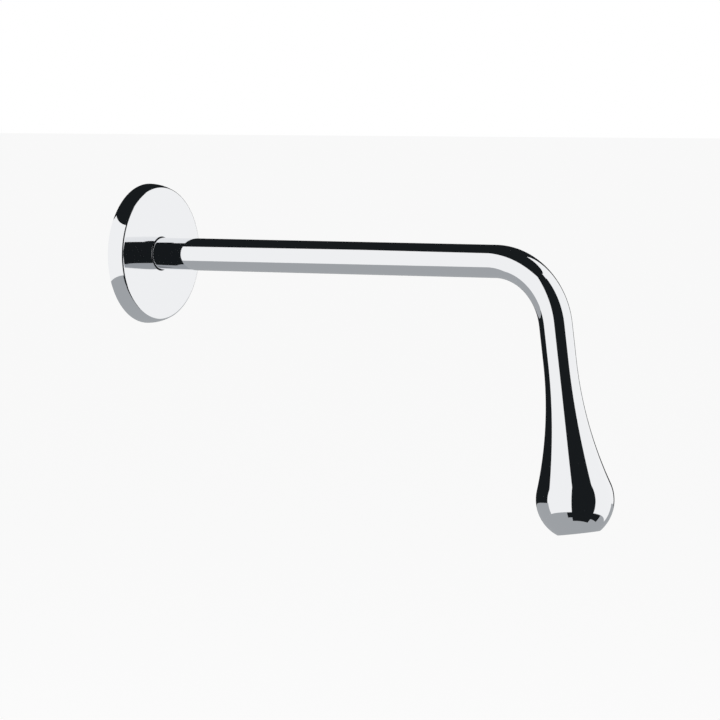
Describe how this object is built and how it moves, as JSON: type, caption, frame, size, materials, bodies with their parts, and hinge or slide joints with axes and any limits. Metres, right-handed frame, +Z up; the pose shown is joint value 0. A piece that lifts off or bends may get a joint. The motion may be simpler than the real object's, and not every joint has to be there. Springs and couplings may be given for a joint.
{
  "type": "wall-mounted basin spout",
  "caption": "Chrome wall-mounted basin spout: a round flange, a straight tube arm, a soft bend and a teardrop end with an aerator",
  "frame": {"origin": "on the arm's axis in the plane of the finished wall, where the pipe thread meets the collar", "axes": "+X out of the wall along the arm, +Z up, +Y to the left of someone facing the wall"},
  "size_m": [0.2826, 0.07, 0.1651],
  "materials": {
    "polished_chrome": "polished chrome plate on brass",
    "turned_brass": "machined brass",
    "stainless_steel": "plain stainless steel",
    "black_rubber": "smooth black rubber",
    "grey_foam": "closed-cell foam",
    "white_plastic": "moulded white plastic",
    "grey_plastic": "moulded grey plastic"
  },
  "bodies": {
    "root": {"spout_body": "polished_chrome", "wall_flange": "polished_chrome", "flange_ring": "black_rubber", "wall_gasket": "grey_foam", "wall_connector": "turned_brass", "connector_ring": "black_rubber", "spigot_ring_back": "black_rubber", "spigot_ring_front": "black_rubber", "grub_screw": "stainless_steel", "aerator_housing": "grey_plastic", "outlet_grid": "white_plastic", "lower_screen": "stainless_steel", "screen_spacer": "white_plastic", "upper_screen": "stainless_steel", "jet_plate": "white_plastic", "flow_regulator": "grey_plastic", "regulator_ring": "black_rubber", "strainer": "white_plastic", "aerator_seal": "black_rubber"}
  },
  "joints": []
}
